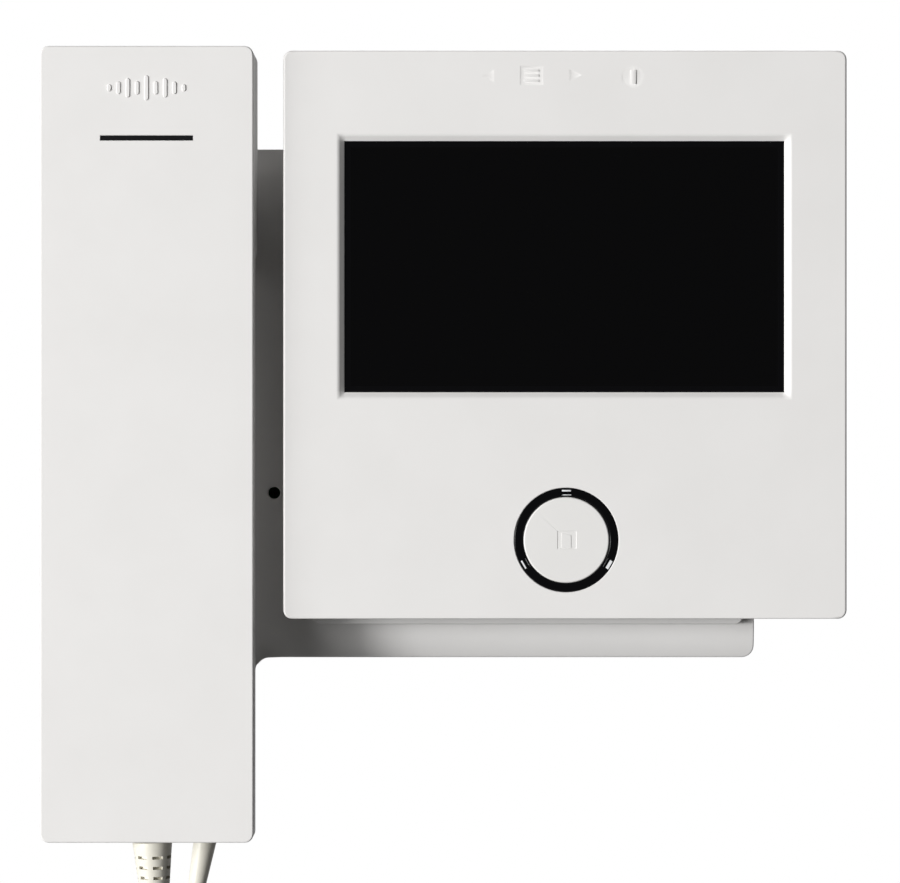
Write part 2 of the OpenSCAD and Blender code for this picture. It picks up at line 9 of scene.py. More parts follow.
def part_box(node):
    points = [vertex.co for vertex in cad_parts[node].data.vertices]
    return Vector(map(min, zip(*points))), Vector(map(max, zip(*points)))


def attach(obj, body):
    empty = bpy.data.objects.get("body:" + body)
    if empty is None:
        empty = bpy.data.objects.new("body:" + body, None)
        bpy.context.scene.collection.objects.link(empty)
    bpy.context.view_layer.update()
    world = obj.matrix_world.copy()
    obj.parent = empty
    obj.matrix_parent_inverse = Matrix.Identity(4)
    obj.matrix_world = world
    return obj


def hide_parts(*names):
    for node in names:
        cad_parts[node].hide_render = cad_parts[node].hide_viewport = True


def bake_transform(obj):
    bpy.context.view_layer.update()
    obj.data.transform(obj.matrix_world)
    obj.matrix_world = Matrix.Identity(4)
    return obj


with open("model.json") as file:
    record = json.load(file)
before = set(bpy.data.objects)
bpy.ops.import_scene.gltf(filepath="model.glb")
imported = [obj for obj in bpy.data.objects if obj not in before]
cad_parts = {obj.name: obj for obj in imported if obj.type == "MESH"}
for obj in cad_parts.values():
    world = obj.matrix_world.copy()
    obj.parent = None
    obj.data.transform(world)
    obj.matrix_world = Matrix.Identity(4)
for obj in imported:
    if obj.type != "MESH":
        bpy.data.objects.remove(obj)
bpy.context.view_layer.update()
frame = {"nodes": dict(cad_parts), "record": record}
scene = bpy.context.scene
mm = 0.001
print("frame loaded")

# camera

cameraLook = {
    "distance": 870 * mm,      # from the panel's face
    "seenWidth": 228.15 * mm,  # what the view's width takes in at the panel's face
    "aimX": 0.0,
    "aimZ": -0.13 * mm,
    "tilt": 0.0,               # degrees above level
}


def makeCamera(look):
    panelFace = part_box("monitor_front_panel")[0].y
    tilt = math.radians(look["tilt"])
    aim = Vector((look["aimX"], panelFace, look["aimZ"]))
    data = bpy.data.cameras.new("camera")
    data.sensor_width = 36
    data.lens = data.sensor_width * look["distance"] / look["seenWidth"]
    camera = bpy.data.objects.new("camera", data)
    scene.collection.objects.link(camera)
    camera.location = aim + look["distance"] * Vector((0, -math.cos(tilt), math.sin(tilt)))
    camera.rotation_mode = "QUATERNION"
    camera.rotation_quaternion = (aim - camera.location).to_track_quat("-Z", "Y")
    scene.camera = camera


makeCamera(cameraLook)

# materials


class Value:
    # a socket that takes part in Python expressions
    def __init__(self, finish, socket):
        self.finish, self.socket = finish, socket

    def __add__(self, other):
        return self.finish.maths("ADD", self, other)

    def __rsub__(self, other):
        return self.finish.maths("SUBTRACT", other, self)

    def __mul__(self, other):
        return self.finish.maths("MULTIPLY", self, other)

    __radd__ = __add__
    __rmul__ = __mul__


class Finish:
    def __init__(self, name, **shader):
        self.material = bpy.data.materials.new(name)
        self.material.use_nodes = True
        self.tree = self.material.node_tree
        self.shader = self.tree.nodes["Principled BSDF"]
        for socket, value in shader.items():
            self.shader.inputs[socket.replace("_", " ")].default_value = value
        self.place = self.node("ShaderNodeTexCoord", out="Object")

    def node(self, kind, settings=None, sockets=None, out=0):
        made = self.tree.nodes.new(kind)
        for key, value in (settings or {}).items():
            if key == "stops":
                while len(made.color_ramp.elements) < len(value):
                    made.color_ramp.elements.new(1)
                for stop, (at, colour) in zip(made.color_ramp.elements, value):
                    stop.position, stop.color = at, (*colour, 1)
            else:
                setattr(made, key, value)
        for key, value in (sockets or {}).items():
            if isinstance(value, Value):
                self.tree.links.new(value.socket, made.inputs[key])
            else:
                made.inputs[key].default_value = value
        return Value(self, made.outputs[out])

    def maths(self, operation, *values):
        return self.node("ShaderNodeMath", {"operation": operation}, dict(enumerate(values)))

    def noise(self, size, detail=2.0, rough=0.5):
        # a pattern whose lumps are about size metres across
        return self.node("ShaderNodeTexNoise", {}, {"Vector": self.place, "Scale": 1 / size, "Detail": detail,
                                                     "Roughness": rough})

    def ramp(self, value, low, high):
        # 0 at low, 1 at high, and straight between
        return self.node("ShaderNodeMapRange", {"clamp": True},
                         {"Value": value, "From Min": low, "From Max": high})

    def mix(self, factor, a, b):
        return self.node("ShaderNodeMix", {"data_type": "RGBA"},
                         {"Factor": factor, 6: (*a, 1), 7: (*b, 1)}, out=2)

    def drive(self, socket, value):
        self.tree.links.new(value.socket, self.shader.inputs[socket])
        return self

    def bump(self, height, distance, strength=1.0):
        made = self.node("ShaderNodeBump", {}, {"Height": height, "Distance": distance, "Strength": strength})
        return self.drive("Normal", made)


def plastic(name, base, tint, roughness, grain, depth, swirl=0.03, **shader):
    # moulded plastic: a faint cloudiness in the colour, uneven gloss and a fine spark-eroded grain
    finish = Finish(name, **shader)
    cloud = finish.ramp(finish.noise(18 * mm, 3), 0.3, 0.7)
    finish.drive("Base Color", finish.mix(cloud, base, tint))
    fine = finish.noise(grain, 3, 0.6)
    patch = finish.noise(6 * mm, 2)
    finish.drive("Roughness", roughness - 0.5 * swirl + fine * swirl * 0.5 + patch * swirl)
    finish.bump(fine, depth)
    return finish.material


def gloss(name, base, roughness, ripple, **shader):
    # polished moulding: only hair marks and a trace of dust
    finish = Finish(name, **shader)
    dust = finish.ramp(finish.noise(0.35 * mm, 4, 0.7), 0.68, 0.8)
    finish.drive("Base Color", finish.mix(dust * 0.02, base, (0.3, 0.3, 0.3)))
    finish.drive("Roughness", roughness + finish.noise(9 * mm, 3) * 0.04 + dust * 0.05)
    finish.bump(finish.noise(14 * mm, 1), ripple)
    return finish.material


def metal(name, base, tint, roughness, along, depth, **shader):
    # rolled or plated steel, brushed along one axis
    finish = Finish(name, Metallic=1.0, **shader)
    stretch = [0.05 if i == along else 1.0 for i in range(3)]
    brushed = finish.node("ShaderNodeMapping", {}, {"Vector": finish.place, "Scale": stretch})
    streak = finish.node("ShaderNodeTexNoise", {},
                         {"Vector": brushed, "Scale": 1 / (0.4 * mm), "Detail": 3.0})
    finish.drive("Base Color", finish.mix(finish.ramp(finish.noise(5 * mm, 3), 0.35, 0.65), base, tint))
    finish.drive("Roughness", roughness - 0.08 + streak * 0.16)
    finish.bump(streak, depth)
    return finish.material


def circuitBoard(name, mask, copper):
    # solder mask over copper tracks: the tracks run square, a shade lighter and slightly raised
    finish = Finish(name, Specular_IOR_Level=0.5)
    tracks = []
    for angle in (0, 90):
        turned = finish.node("ShaderNodeMapping", {}, {"Vector": finish.place,
                                                       "Rotation": (0, math.radians(angle), 0)})
        tracks.append(finish.node("ShaderNodeTexBrick", {"offset": 0.5, "squash": 0.6}, {
            "Vector": finish.node("ShaderNodeMapping", {},
                                  {"Vector": turned, "Rotation": (math.radians(90), 0, 0)}),
            "Scale": 1 / (6 * mm), "Mortar Size": 0.05, "Mortar Smooth": 0.1, "Brick Width": 0.9,
            "Row Height": 0.2}, out="Fac"))
    track = finish.maths("MAXIMUM", tracks[0], tracks[1])
    finish.drive("Base Color", finish.mix(track, mask, copper))
    finish.drive("Roughness", 0.28 + finish.noise(0.5 * mm) * 0.12)
    finish.bump(track, 0.03 * mm)
    return finish.material


def screenLens(name, ink, display, box):
    # black ink round the edge of the lens, and the switched-off display behind the clear middle
    finish = Finish(name, Specular_IOR_Level=0.12)
    split = finish.node("ShaderNodeSeparateXYZ", {}, {"Vector": finish.place}, out=0)
    z = Value(finish, split.socket.node.outputs[2])
    low, high = box
    border = 3.4 * mm

    def inside(value, a, b):
        return finish.ramp(value, a, a + 0.1 * mm) * (1 - finish.ramp(value, b - 0.1 * mm, b))

    clear = inside(split, low.x + border, high.x - border) * inside(z, low.z + border, high.z - border)
    finish.drive("Base Color", finish.mix(clear, ink, display))
    dust = finish.ramp(finish.noise(0.5 * mm, 4, 0.7), 0.7, 0.8)
    finish.drive("Roughness", 0.09 + clear * 0.05 + dust * 0.08)
    finish.bump(finish.noise(30 * mm, 1), 0.02 * mm)
    return finish.material


white, whiteTint = (0.80, 0.788, 0.774), (0.78, 0.768, 0.753)
black = (0.003, 0.003, 0.0035)
finishes = {
    "white_plastic": plastic("whitePlastic", white, whiteTint, 0.46, 0.22 * mm, 0.012 * mm),
    # the base cover is the same white plastic drawn darker: painted shade for the lesser light that reaches
    # it behind the panel and the handset
    "white_cover": plastic("whiteCoverPaintedShade", (0.70, 0.691, 0.68), (0.68, 0.671, 0.66), 0.5, 0.3 * mm, 0.02 * mm),
    "key_plastic": plastic("keyPlastic", (0.79, 0.78, 0.763), (0.77, 0.76, 0.742), 0.4, 0.2 * mm, 0.008 * mm),
    "lens_black": screenLens("lensBlack", (0.0035, 0.0035, 0.004), (0.0028, 0.0028, 0.003),
                             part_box("screen_lens")),
    "ring_black": gloss("ringBlack", black, 0.12, 0.01 * mm, Specular_IOR_Level=0.2),
    "light_window": plastic("lightWindow", (0.83, 0.84, 0.85), (0.76, 0.77, 0.79), 0.25,
                            0.15 * mm, 0.004 * mm,
                            Subsurface_Weight=0.15, Subsurface_Radius=(0.001, 0.001, 0.001)),
    "smoke_bar": gloss("smokeBar", (0.006, 0.006, 0.007), 0.2, 0.01 * mm),
    "black_plastic": plastic("blackPlastic", (0.022, 0.022, 0.024), (0.03, 0.03, 0.032),
                             0.45, 0.2 * mm, 0.01 * mm),
    "cord_plastic": plastic("cordPlastic", (0.79, 0.765, 0.68), (0.75, 0.725, 0.635), 0.42,
                            0.35 * mm, 0.01 * mm,
                            Subsurface_Weight=0.05, Subsurface_Radius=(0.001, 0.001, 0.0008)),
    "black_rubber": plastic("blackRubber", (0.02, 0.02, 0.02), (0.028, 0.028, 0.028),
                            0.75, 0.25 * mm, 0.02 * mm),
    "foam": plastic("foam", (0.03, 0.03, 0.03), (0.05, 0.05, 0.05), 0.95, 0.35 * mm, 0.12 * mm),
    "zinc_steel": metal("zincSteel", (0.62, 0.63, 0.65), (0.54, 0.55, 0.56), 0.38, 0, 0.004 * mm),
    "screw_steel": metal("screwSteel", (0.56, 0.57, 0.58), (0.46, 0.47, 0.48), 0.32, 1, 0.003 * mm),
    "spring_steel": metal("springSteel", (0.6, 0.6, 0.61), (0.5, 0.5, 0.51), 0.28, 1, 0.002 * mm),
    "magnet_nickel": metal("magnetNickel", (0.72, 0.71, 0.69), (0.66, 0.65, 0.63), 0.22, 1, 0.002 * mm),
    "lcd_glass": gloss("lcdGlass", (0.01, 0.01, 0.012), 0.1, 0.005 * mm),
    "backlight_metal": metal("backlightMetal", (0.75, 0.76, 0.77), (0.68, 0.69, 0.7), 0.35, 0, 0.004 * mm),
    "circuit_board": circuitBoard("circuitBoard", (0.008, 0.085, 0.03), (0.02, 0.17, 0.06)),
    "terminal_green": plastic("terminalGreen", (0.02, 0.26, 0.075), (0.018, 0.22, 0.06),
                              0.4, 0.2 * mm, 0.01 * mm),
    "flex_film": plastic("flexFilm", (0.5, 0.2, 0.03), (0.42, 0.16, 0.02), 0.3, 0.3 * mm, 0.006 * mm),
    "socket_cream": plastic("socketCream", (0.72, 0.69, 0.58), (0.68, 0.65, 0.54), 0.42, 0.2 * mm, 0.01 * mm),
    "ribbon_grey": plastic("ribbonGrey", (0.35, 0.35, 0.37), (0.28, 0.28, 0.3), 0.45, 0.4 * mm, 0.02 * mm),
}
slotOf = {part["node"]: part["material_slot"] for part in frame["record"]["subparts"]}
bodyOf = {node: body for body, nodes in frame["record"]["behaviour"]["bodies"].items() for node in nodes}
for node, obj in frame["nodes"].items():
    obj.data.materials.clear()
    obj.data.materials.append(finishes[slotOf[node]])
print("materials made")

# mesh helpers


def bevel(bm, edges, radius, segments):
    return bmesh.ops.bevel(bm, geom=list(edges), offset=radius, offset_type="OFFSET", affect="EDGES",
                           segments=segments, profile=0.5, material=-1, clamp_overlap=True)


def cutAcross(bm, parts, axis, at):
    normal, where = Vector((0, 0, 0)), Vector((0, 0, 0))
    normal[axis], where[axis] = 1, at
    bmesh.ops.bisect_plane(bm, geom=parts, dist=1e-6, plane_co=where, plane_no=normal)


def edgesAlongY(bm):
    return [e for e in bm.edges if abs(e.verts[0].co.x - e.verts[1].co.x) < 1e-7
            and abs(e.verts[0].co.z - e.verts[1].co.z) < 1e-7]


def toObject(bm, name):
    mesh = bpy.data.meshes.new(name)
    bm.to_mesh(mesh)
    bm.free()
    obj = bpy.data.objects.new(name, mesh)
    scene.collection.objects.link(obj)
    return obj


def applied(obj):
    # the object with its modifiers made real
    bpy.context.view_layer.update()
    shaped = bpy.data.meshes.new_from_object(obj.evaluated_get(bpy.context.evaluated_depsgraph_get()))
    old = obj.data
    obj.modifiers.clear()
    obj.data = shaped
    bpy.data.meshes.remove(old)
    return obj


def combine(obj, operation, cutter):
    tool = toObject(cutter, "cutter") if isinstance(cutter, bmesh.types.BMesh) else cutter
    step = obj.modifiers.new("cut", "BOOLEAN")
    step.operation, step.solver, step.object = operation, "EXACT", tool
    applied(obj)
    bpy.data.objects.remove(tool)
    return obj


def smoothShade(obj, angle):
    # smooth over the small bevels, while the large faces keep their own flat normals; many-sided faces
    # are then split evenly, so that no sliver of a triangle shows
    obj.data.shade_smooth()
    obj.data.set_sharp_from_angle(angle=math.radians(angle))
    step = obj.modifiers.new("normals", "WEIGHTED_NORMAL")
    step.keep_sharp, step.weight = True, 100
    step = obj.modifiers.new("triangles", "TRIANGULATE")
    step.min_vertices, step.ngon_method, step.keep_custom_normals = 5, "BEAUTY", True
    applied(obj)


def faceWidth(face):
    return face.calc_area() / max(edge.calc_length() for edge in face.edges)


def softEdges(obj, width, segments=2, special=None, most=0.0, reshape=None):
    # every outside edge gets the small radius that a mould leaves, or the one that special gives
    # for its middle
    most = max(width, most)
    bm = bmesh.new()
    bm.from_mesh(obj.data)
    bmesh.ops.remove_doubles(bm, verts=bm.verts, dist=1e-6)
    bmesh.ops.dissolve_degenerate(bm, edges=bm.edges, dist=2e-6)
    bmesh.ops.dissolve_limit(bm, angle_limit=math.radians(0.4), verts=bm.verts, edges=bm.edges)
    if reshape:
        reshape(bm)
    weight = bm.edges.layers.float.new("bevel_weight_edge")
    for edge in bm.edges:
        if edge.is_manifold and edge.is_convex and edge.calc_face_angle(0) > math.radians(32):
            if min(faceWidth(face) for face in edge.link_faces) > 0.01 * mm:
                middle = (edge.verts[0].co + edge.verts[1].co) / 2
                edge[weight] = (special and special(middle) or width) / most
    bm.to_mesh(obj.data)
    bm.free()
    step = obj.modifiers.new("edges", "BEVEL")
    step.width, step.segments, step.limit_method = most, segments, "WEIGHT"
    step.use_clamp_overlap = False
    return applied(obj)


def place(obj, node, *others):
    # the piece stands for node: its body and its finish, with node hidden
    obj.data.materials.clear()
    obj.data.materials.append(finishes[slotOf[node]])
    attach(obj, bodyOf[node])
    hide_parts(node, *others)
    return obj


def copyOf(node, name):
    obj = bpy.data.objects.new(name, frame["nodes"][node].data.copy())
    scene.collection.objects.link(obj)
    return obj


def drafted(bm, points, yStart, yFace, yEnd, draft):
    # a prism with an outline given in mm: straight from yStart to yFace, then drawn in by draft
    # on the way to yEnd
    start = bm.faces.new([bm.verts.new((x * mm, yStart, z * mm)) for x, z in points])
    grown = bmesh.ops.extrude_face_region(bm, geom=[start])["geom"]
    bmesh.ops.translate(bm, verts=[v for v in grown if isinstance(v, bmesh.types.BMVert)],
                        vec=(0, yFace - yStart, 0))
    bmesh.ops.recalc_face_normals(bm, faces=bm.faces)
    end = [f for f in grown if isinstance(f, bmesh.types.BMFace)]
    bmesh.ops.inset_region(bm, faces=end, thickness=draft, depth=abs(yEnd - yFace), use_even_offset=True)


def rectangle(x0, x1, z0, z1):
    return [(x0, z0), (x1, z0), (x1, z1), (x0, z1)]


def disc(x, z, radius, count=40):
    turns = [2 * math.pi * k / count for k in range(count)]
    return [(x + radius * math.cos(t), z + radius * math.sin(t)) for t in turns]


def sinkMarks(obj, sunk, raised, face, depth, draft):
    # sunk outlines are cut into the face, and raised ones inside them stay flush with it
    cutter = bmesh.new()
    for points in sunk:
        drafted(cutter, points, face - 0.3 * mm, face, face + depth, draft)
    tool = toObject(cutter, "cutter")
    if raised:
        kept = bmesh.new()
        for points in raised:
            drafted(kept, points, face + depth + 0.2 * mm, face + depth, face - 0.6 * mm, draft)
        combine(tool, "DIFFERENCE", kept)
    return combine(obj, "DIFFERENCE", tool)


def spun(profile, centre, steps=96):
    # a closed profile of (radius, y) points, spun round an axis along Y through centre (x, z)
    bm = bmesh.new()
    verts = [bm.verts.new((radius, y, 0)) for radius, y in profile]
    face = bm.faces.new(verts)
    bmesh.ops.spin(bm, geom=[face], cent=(0, 0, 0), axis=(0, 1, 0), angle=2 * math.pi, steps=steps,
                   use_merge=True)
    bmesh.ops.remove_doubles(bm, verts=bm.verts, dist=1e-7)
    inner = [f for f in bm.faces if len(f.verts) > 4]
    bmesh.ops.delete(bm, geom=inner, context="FACES_ONLY")
    bmesh.ops.translate(bm, verts=bm.verts, vec=(centre[0], 0, centre[1]))
    bmesh.ops.recalc_face_normals(bm, faces=bm.faces)
    return bm


# handset cord

cordLook = {
    "diameter": 4.4 * mm,
    "curlRadius": 6.3 * mm,   # from the curl's axis to the middle of the wire
    "pitch": 4.6 * mm,        # along the curl's axis
    "spread": 15 * mm,        # over which the straight wire runs out into the curl
    "sides": 12,
    "stepsPerTurn": 18,
}
handsetTail = [(-75.6, -46.5, -101.5), (-74.9, -46.5, -116), (-74.6, -46.5, -124), (-74.3, -46.5, -132),
               (-74.1, -46, -140), (-74, -45, -150)]
curl = [(-73, -45, -165), (-72, -45, -180), (-72, -45, -195), (-72, -45, -210), (-72, -44, -222),
        (-72, -40, -234), (-73, -32, -240), (-74, -24, -234), (-75, -19, -222), (-76, -18, -210),
        (-76, -18, -195), (-75, -18, -180), (-74, -18, -165)]
baseTail = [(-72, -18, -150), (-71, -18, -140), (-69, -18, -128), (-66.4, -18, -116), (-64.5, -18, -106),
            (-60.9, -18, -87)]


def smoothLine(points, perSpan):
    # a smooth curve through given points
    line = []
    for i in range(len(points) - 1):
        a, b, c, d = (points[max(i - 1, 0)], points[i], points[i + 1], points[min(i + 2, len(points) - 1)])
        for k in range(perSpan):
            f = k / perSpan
            line.append((2 * b + (c - a) * f + (2 * a - 5 * b + 4 * c - d) * f * f
                         + (3 * b - a - 3 * c + d) * f ** 3) / 2)
    return line + [points[-1]]


def sweep(points, radius, sides):
    # a closed round tube along a line
    bm = bmesh.new()
    across = None
    loops = []
    for i, p in enumerate(points):
        along = (points[min(i + 1, len(points) - 1)] - points[max(i - 1, 0)]).normalized()
        if across is None:
            across = along.orthogonal().normalized()
        across = (across - along * across.dot(along)).normalized()
        other = along.cross(across)
        turns = [2 * math.pi * k / sides for k in range(sides)]
        loops.append([bm.verts.new(p + radius * (math.cos(t) * across + math.sin(t) * other)) for t in turns])
    for a, b in zip(loops, loops[1:]):
        for k in range(sides):
            bm.faces.new((a[k], a[(k + 1) % sides], b[(k + 1) % sides], b[k]))
    bm.faces.new(list(reversed(loops[0])))
    bm.faces.new(loops[-1])
    bmesh.ops.recalc_face_normals(bm, faces=bm.faces)
    return bm


def curlyLine(look):
    # the wire's own line: straight tails, and between them turns round the curl's axis
    axis = smoothLine([Vector(p) * mm for p in handsetTail + curl + baseTail], 24)
    run = [0.0]
    for a, b in zip(axis, axis[1:]):
        run.append(run[-1] + (b - a).length)
    first = run[(len(handsetTail) - 1) * 24]
    last = run[(len(handsetTail) + len(curl)) * 24]
    rise = look["pitch"] / (2 * math.pi)
    widest = (look["curlRadius"] ** 2 + rise ** 2) / look["curlRadius"]
    line, phase, i, s = [], 0.0, 0, 0.0
    while s < run[-1] - 0.5 * mm:
        while run[i + 1] < s:
            i += 1
        here = axis[i].lerp(axis[i + 1], (s - run[i]) / (run[i + 1] - run[i]))
        low, high = max(i - 14, 0), min(i + 14, len(axis) - 1)
        along = (axis[min(i + 2, high)] - axis[max(i - 1, low)]).normalized()
        bend = (axis[i] - axis[low]).angle(axis[high] - axis[i], 0) if low < i < high else 0
        bend /= max((run[high] - run[low]) / 2, mm)
        side = (Vector((1, 0, 0)) - along * along.x).normalized()
        out = along.cross(side)
        t = min(max(min(s - first, last - s) / look["spread"], 0.0), 1.0)
        radius = look["curlRadius"] * t * t * (3 - 2 * t)
        line.append(here + radius * (math.cos(phase) * side + math.sin(phase) * out))
        if radius > 0:
            # where the turns are still small they climb faster, so that no bend is tighter than
            # the curl's own
            climb = math.sqrt(max(radius * (widest - radius), rise ** 2))
            climb /= max(1 - bend * radius, 0.45)
            step = min(2 * math.pi / look["stepsPerTurn"], 2 * mm / climb)
            phase += step
            s += step * climb
        else:
            s += 1.5 * mm
    return line + [axis[-1]]


wire = curlyLine(cordLook)
wireLength = sum((b - a).length for a, b in zip(wire, wire[1:]))
print("cord length", round(wireLength, 3))
cord = toObject(sweep(wire, cordLook["diameter"] / 2, cordLook["sides"]), "handset_cord")
cord.data.shade_smooth()
cord.data.materials.append(finishes["cord_plastic"])
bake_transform(cord)
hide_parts("cord_handset_tail", "cord_coil", "cord_base_tail")
print("cord made")

# monitor panel

panelLook = {
    "rim": 0.6 * mm,        # radius of the front edge
    "screenEdge": 0.5 * mm,  # how far the rounding round the screen reaches
    "screenRight": 0.9 * mm,  # the same, at its right side
    "mitre": 2.3 * mm,
    "edge": 0.25 * mm,      # radius of the other edges
    "markDepth": 0.26 * mm,
    "markDraft": 0.24 * mm,  # how far a mark's walls slope
}
panelLow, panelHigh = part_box("monitor_front_panel")


def panelEdge(point):
    if point.y > panelLow.y + 0.1 * mm:
        return None
    if min(point.x - panelLow.x, panelHigh.x - point.x, point.z - panelLow.z, panelHigh.z - point.z) < 1 * mm:
        return panelLook["rim"]
    nearScreen = (screenLow.x - mm < point.x < screenHigh.x + mm
                  and screenLow.z - mm < point.z < screenHigh.z + mm)
    if not nearScreen:
        return None
    return panelLook["screenRight"] if point.x > screenHigh.x else panelLook["screenEdge"]


def cutFrame(bm):
    # the sloping frame round the screen is cut beside its mitres, so that each side keeps its own shading
    for axis, at in ((0, screenLow.x + panelLook["mitre"]), (0, screenHigh.x - panelLook["mitre"]),
                     (2, screenLow.z + panelLook["mitre"]), (2, screenHigh.z - panelLook["mitre"])):
        slopes = [f for f in bm.faces if 0.3 < -f.normal.y < 0.95 and f.calc_center_median().y < screenLow.y]
        known = set(slopes)
        parts = slopes + [e for e in bm.edges if known.intersection(e.link_faces)]
        parts += [v for v in bm.verts if known.intersection(v.link_faces)]
        cutAcross(bm, parts, axis, at)


screenLow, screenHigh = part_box("screen_lens")
panel = softEdges(copyOf("monitor_front_panel", "panel_shell"), panelLook["edge"], 6, panelEdge,
                  panelLook["screenRight"], cutFrame)
menuBars = [rectangle(18.9, 22.5, z - 0.33, z + 0.33) for z in (91.35, 92.65, 93.95)]
sinkMarks(panel, [
    [(7.8, 92.55), (11.3, 90.7), (11.3, 94.4)],
    rectangle(17.6, 23.8, 90.15, 95.15),
    [(30.2, 91.15), (33.8, 92.8), (30.2, 94.45)],
    disc(46.3, 92.3, 2.95),
], menuBars + [rectangle(45.8, 47.2, 90.5, 94.1)], panelLow.y, panelLook["markDepth"], panelLook["markDraft"])
smoothShade(panel, 40)
place(panel, "monitor_front_panel")
print("panel made")

# door key and its ring

keyLook = {
    "edge": 0.45 * mm,
    "ringEdge": 0.22 * mm,
    "markDepth": 0.11 * mm,
    "markDraft": 0.12 * mm,
}
markLook = {
    "marks": ((90, 0.42 * mm), (210, 0.46 * mm), (330, 0.82 * mm)),  # degrees round, and width
    "markRadius": 12.5 * mm,
    "markLength": 2.35 * mm,
    "lipRadius": 11.42 * mm,
    "lipWidth": 0.26 * mm,
    "lipLength": 2.5 * mm,
    "lipSink": 0.25 * mm,
    "slack": 0.01 * mm,       # round each window in its opening
    "windowEdge": 0.04 * mm,  # radius of a window's edges, and how far it stands back
    "past": 0.5 * mm,         # how far the openings are cut past the ring
}
keyLow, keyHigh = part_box("door_key")
keyCentre = ((keyLow.x + keyHigh.x) / 2, (keyLow.z + keyHigh.z) / 2)
keyRadius = (keyHigh.x - keyLow.x) / 2


def quarter(radius, y, inward, count=5):
    # points round a soft edge: from the side at y + |inward| to the face at y
    turns = [math.pi / 2 * k / count for k in range(count + 1)]
    return [(radius - inward + inward * math.cos(t), y + abs(inward) * (1 - math.sin(t))) for t in turns]


def doorKeyBody():
    wall, skirt, stem = keyRadius - 1.6 * mm, keyLow.y + 4.4 * mm, 2.5 * mm
    under = keyLow.y + 1.7 * mm
    outside = [(keyRadius, skirt)] + quarter(keyRadius, keyLow.y, keyLook["edge"]) + [(0, keyLow.y)]
    inside = [(0, keyHigh.y), (stem, keyHigh.y), (stem, under), (wall, under), (wall, skirt)]
    return spun(outside + inside, keyCentre)


key = toObject(doorKeyBody(), "door_key_cap")
keyX, keyZ = keyCentre[0] / mm, keyCentre[1] / mm
doorFrame = rectangle(keyX - 2.3, keyX + 2.6, keyZ - 2.3, keyZ + 2.3)
doorLeaf = [(keyX - 1.2, keyZ - 2.0), (keyX + 1.2, keyZ - 2.0),
            (keyX + 1.2, keyZ + 1.2), (keyX - 1.2, keyZ + 1.8)]
sinkMarks(key, [doorFrame], [doorLeaf], keyLow.y, keyLook["markDepth"], keyLook["markDraft"])
smoothShade(key, 35)
place(key, "door_key")

ringLow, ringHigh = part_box("key_ring")
ringRadius = (ringHigh.x - ringLow.x) / 2
ringHole = keyRadius + 0.15 * mm
ringProfile = ([(ringRadius, ringHigh.y)] + quarter(ringRadius, ringLow.y, keyLook["ringEdge"])
               + quarter(ringHole, ringLow.y, -keyLook["ringEdge"])[::-1] + [(ringHole, ringHigh.y)])
ring = toObject(spun(ringProfile, keyCentre, 128), "key_ring_trim")


def lightMarks(look, front, back, soft=0.0):
    # the outer and the inner window at each mark, square to the ring's radius: sharp for the openings,
    # and soft, a hair smaller and with the inner one sunk, for the windows that stand in them
    bm = bmesh.new()
    slack = look["slack"] if soft else 0
    for turn, width in look["marks"]:
        t = math.radians(turn)
        outer = (look["markRadius"], width, look["markLength"], 0)
        inner = (look["lipRadius"], look["lipWidth"], look["lipLength"], look["lipSink"] if soft else 0)
        for radius, across, length, sink in (outer, inner):
            low = front + sink
            size = (across - 2 * slack, back - low, length - 2 * slack, 1)
            matrix = (Matrix.Translation((keyCentre[0], (low + back) / 2, keyCentre[1]))
                      @ Matrix.Rotation(-t, 4, "Y") @ Matrix.Translation((radius, 0, 0))
                      @ Matrix.Diagonal(size))
            bmesh.ops.create_cube(bm, size=1, matrix=matrix)
    if soft:
        bevel(bm, bm.edges, soft, 2)
    return bm


openings = lightMarks(markLook, ringLow.y - markLook["past"], ringHigh.y + markLook["past"])
combine(ring, "DIFFERENCE", openings)
place(ring, "key_ring")
smoothShade(ring, 35)
windowEdge = markLook["windowEdge"]
windows = toObject(lightMarks(markLook, ringLow.y + windowEdge, ringHigh.y, windowEdge), "ring_marks")
smoothShade(windows, 35)
place(windows, "ring_light_windows")

print("door key made")

# handset

handsetLook = {
    "rim": 0.45 * mm,      # radius of the front edge
    "edge": 0.2 * mm,
    "waveX": -76.4,        # middle of the raised sound wave, mm
    "waveZ": 88.9,
    "waveBar": 1.15,       # width of one bar, mm
    "wavePitch": 2.35,
    "waveHeights": (1.9, 3.3, 5.0, 3.5, 6.4, 3.5, 5.0, 3.3, 1.9),
    "waveProud": 0.3 * mm,
}
shellLow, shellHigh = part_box("handset_front_shell")


def handsetEdge(point):
    atSide = min(point.x - shellLow.x, shellHigh.x - point.x,
                 point.z - shellLow.z, shellHigh.z - point.z) < 1 * mm
    return handsetLook["rim"] if atSide and point.y < shellLow.y + 0.1 * mm else None


frontShell = softEdges(copyOf("handset_front_shell", "handset_face"), handsetLook["edge"], 3, handsetEdge,
                       handsetLook["rim"])
smoothShade(frontShell, 40)
place(frontShell, "handset_front_shell")


def soundWave(look):
    # a row of round-ended bars, low and softly drafted
    bm = bmesh.new()
    half = look["waveBar"] / 2
    for k, height in enumerate(look["waveHeights"]):
        x = look["waveX"] + (k - (len(look["waveHeights"]) - 1) / 2) * look["wavePitch"]
        reach = height / 2 - half
        turns = [math.pi * n / 8 for n in range(9)]
        top = [(x + half * math.cos(t), look["waveZ"] + reach + half * math.sin(t)) for t in turns]
        low = [(x - half * math.cos(t), look["waveZ"] - reach - half * math.sin(t)) for t in turns]
        drafted(bm, top + low, shellLow.y + 0.2 * mm, shellLow.y, shellLow.y - look["waveProud"], 0.2 * mm)
    return bm


wave = toObject(soundWave(handsetLook), "handset_sound_wave")
wave.data.materials.append(finishes["white_plastic"])
smoothShade(wave, 30)
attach(wave, "handset")
print("handset made")

# cord's strain reliefs

